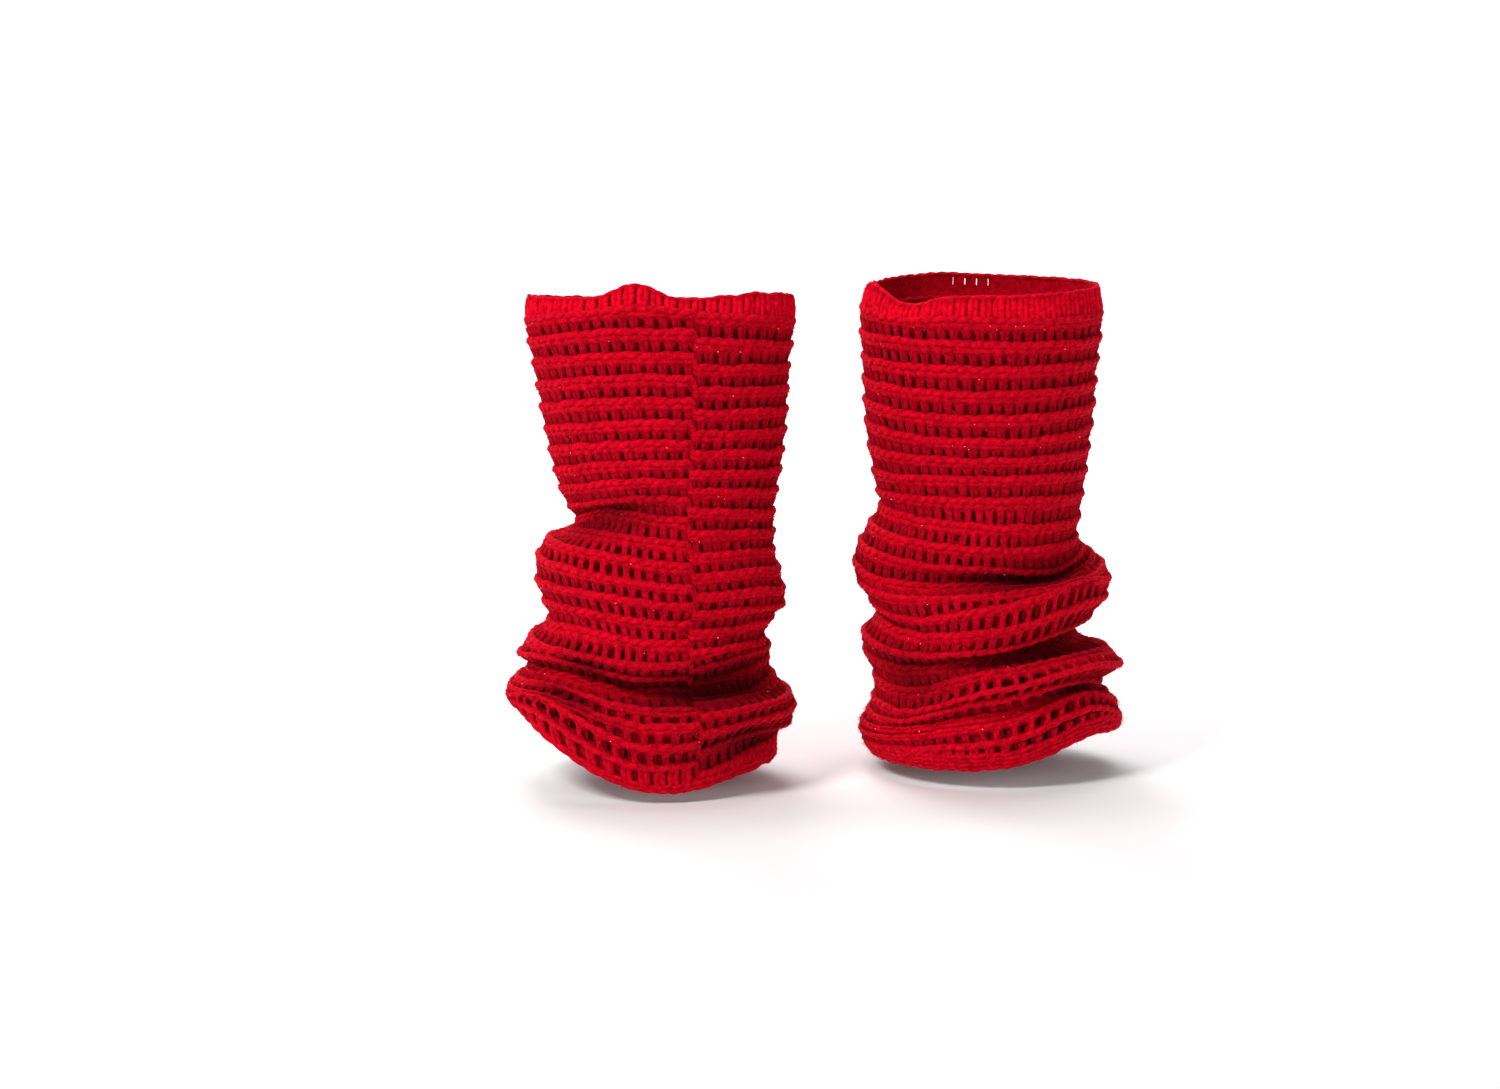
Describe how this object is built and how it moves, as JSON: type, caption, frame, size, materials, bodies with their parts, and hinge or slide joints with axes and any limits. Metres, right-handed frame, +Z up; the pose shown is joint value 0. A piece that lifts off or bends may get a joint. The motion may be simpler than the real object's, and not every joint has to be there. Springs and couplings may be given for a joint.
{
  "type": "pair of leg warmers",
  "caption": "Pair of ribbed crochet leg warmers as open hollow tubes, slouched in folds at the ankle, with a plain cuff above and a plain hem below.",
  "frame": {"origin": "midway between the two legs, at the height of the ankles, where the wearer's legs hold the pair up", "axes": "+X across the pair from one leg to the other, +Y from the front to the back, +Z up along the legs"},
  "size_m": [0.3798, 0.1761, 0.3029],
  "materials": {
    "red_yarn": "matte, soft acrylic"
  },
  "bodies": {
    "root": {"left_cuff": "red_yarn", "left_leg": "red_yarn", "left_hem": "red_yarn", "right_cuff": "red_yarn", "right_leg": "red_yarn", "right_hem": "red_yarn"}
  },
  "joints": []
}
